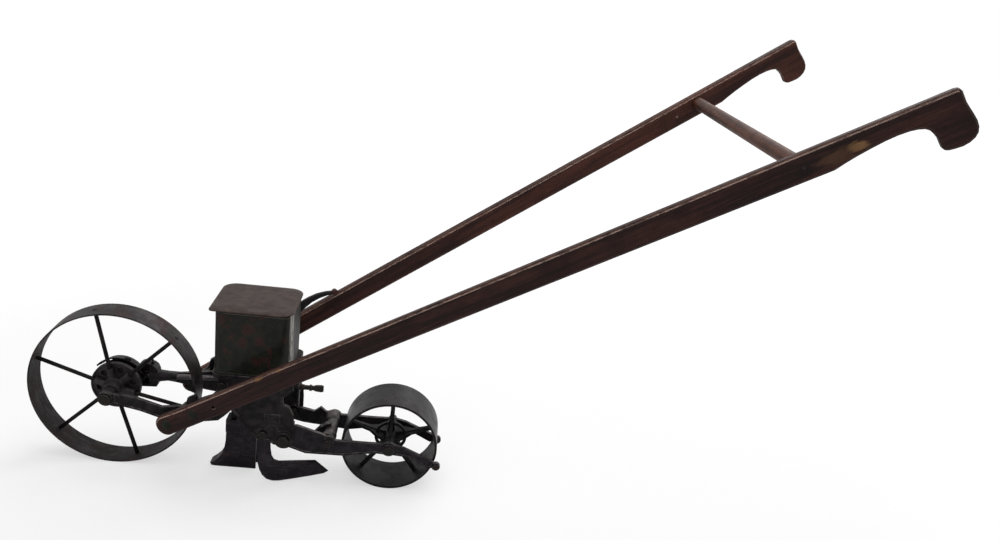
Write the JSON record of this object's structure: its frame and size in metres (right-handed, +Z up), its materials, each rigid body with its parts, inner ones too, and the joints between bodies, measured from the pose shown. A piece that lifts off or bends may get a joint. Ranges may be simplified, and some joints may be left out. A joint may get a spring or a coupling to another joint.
{
  "type": "walk-behind seed planter",
  "caption": "Walk-behind seed planter: spoked front wheel geared to an agitator under a lidded hopper, opener shoe, coverer, rear press wheel and splayed wooden handles.",
  "frame": {"origin": "on the ground, under the middle of the whole bounding box", "axes": "+X from the front wheel to the handles, +Y to the machine's right as the operator walks, +Z up"},
  "size_m": [1.452, 0.6924, 0.901],
  "materials": {
    "cast_iron": "old dark cast iron with thin worn paint",
    "worn_steel": "dark oxidised steel, dull",
    "fastener_steel": "brown oxidised steel fasteners",
    "bright_steel": "worn bright steel",
    "hopper_sheet": "faded dark green paint on sheet steel",
    "lid_sheet": "brown oxidised sheet steel, satin",
    "handle_wood": "dark reddish-brown worn hardwood"
  },
  "bodies": {
    "frame": {"gear_guard": "cast_iron", "front_bearing": "cast_iron", "rear_bearing": "cast_iron", "left_side_frame": "cast_iron", "right_side_frame": "cast_iron", "hopper_base": "cast_iron", "seed_spout": "cast_iron", "front_axle": "fastener_steel", "front_axle_nut": "fastener_steel", "axle_spacers": "fastener_steel", "base_bolts": "fastener_steel", "base_nuts": "fastener_steel", "hopper_screws": "fastener_steel", "spout_screws": "fastener_steel", "lever_stud": "fastener_steel", "opener_set_screw": "fastener_steel", "coverer_bolt": "fastener_steel", "coverer_nut": "fastener_steel", "pivot_bolts": "fastener_steel", "crosspiece_nails": "fastener_steel", "handle_bolts": "fastener_steel", "handle_nuts": "fastener_steel", "oil_cup": "bright_steel", "seed_plate": "bright_steel", "hopper": "hopper_sheet", "hopper_funnel": "hopper_sheet", "left_handle": "handle_wood", "right_handle": "handle_wood", "crosspiece": "handle_wood"},
    "front_wheel": {"front_rim": "worn_steel", "front_spokes": "worn_steel", "front_hub": "cast_iron", "crown_gear": "cast_iron", "crown_screws": "fastener_steel"},
    "drive": {"drive_shaft": "bright_steel", "front_pinion": "cast_iron", "rear_pinion": "cast_iron", "pinion_pins": "fastener_steel"},
    "agitator": {"agitator_shaft": "bright_steel", "agitator_gear": "cast_iron"},
    "lid": {"lid": "lid_sheet"},
    "gate": {"feed_gate": "bright_steel", "gate_link": "cast_iron", "gate_strip": "cast_iron"},
    "thumb_screw": {"thumb_screw": "cast_iron"},
    "lever": {"shutoff_lever": "cast_iron"},
    "opener": {"opener": "worn_steel", "opener_standard": "cast_iron", "opener_rivets": "fastener_steel"},
    "coverer": {"coverer": "worn_steel"},
    "rear_frame": {"left_rear_arm": "cast_iron", "right_rear_arm": "cast_iron", "cross_tie": "cast_iron", "tie_bolt": "fastener_steel", "tie_nut": "fastener_steel", "depth_hook": "cast_iron", "arm_end_bolts": "fastener_steel", "rear_axle": "fastener_steel", "rear_axle_nut": "fastener_steel"},
    "rear_wheel": {"rear_wheel": "cast_iron"}
  },
  "joints": [
    {"name": "front_wheel_spin", "type": "hinge", "parent": "frame", "child": "front_wheel", "pos_m": [-0.57355, 0, 0.1524], "axis": [0, 1, 0], "continuous": true},
    {"name": "drive_shaft_spin", "type": "hinge", "parent": "frame", "child": "drive", "pos_m": [-0.57355, 0.04, 0.1524], "axis": [0.9987, 0, 0.0518], "continuous": true},
    {"name": "agitator_spin", "type": "hinge", "parent": "frame", "child": "agitator", "pos_m": [-0.31155, 0, 0.166], "axis": [0, 1, 0], "continuous": true},
    {"name": "rear_frame_pivot", "type": "hinge", "parent": "frame", "child": "rear_frame", "pos_m": [-0.25155, 0, 0.098], "axis": [0, 1, 0], "range_deg": [0, 10]},
    {"name": "rear_wheel_spin", "type": "hinge", "parent": "rear_frame", "child": "rear_wheel", "pos_m": [-0.05505, 0, 0.091], "axis": [0, 1, 0], "continuous": true},
    {"name": "opener_depth", "type": "slide", "parent": "frame", "child": "opener", "axis": [0, 0, 1], "range_m": [-0.02, 0.02]},
    {"name": "coverer_tilt", "type": "hinge", "parent": "frame", "child": "coverer", "pos_m": [-0.28955, 0, 0.107], "axis": [0, 1, 0], "range_deg": [-10, 0]},
    {"name": "lid_lift", "type": "slide", "parent": "frame", "child": "lid", "axis": [0, 0, 1], "range_m": [0, 0.06]},
    {"name": "shutoff_swing", "type": "hinge", "parent": "frame", "child": "lever", "pos_m": [-0.27355, 0, 0.115], "axis": [0, 1, 0], "range_deg": [-18, 0]},
    {"name": "gate_slide", "type": "slide", "parent": "frame", "child": "gate", "axis": [1, 0, 0], "range_m": [-0.00834, 0]},
    {"name": "thumb_screw_turn", "type": "hinge", "parent": "frame", "child": "thumb_screw", "pos_m": [0, -0.02, 0.19], "axis": [1, 0, 0], "range_deg": [-180, 180]}
  ],
  "couplings": [
    {"joint": "drive_shaft_spin", "follows": "front_wheel_spin", "ratio": 3.5},
    {"joint": "agitator_spin", "follows": "front_wheel_spin", "ratio": -1.4},
    {"joint": "gate_slide", "follows": "shutoff_swing", "m_per_rad": 0.026519}
  ]
}
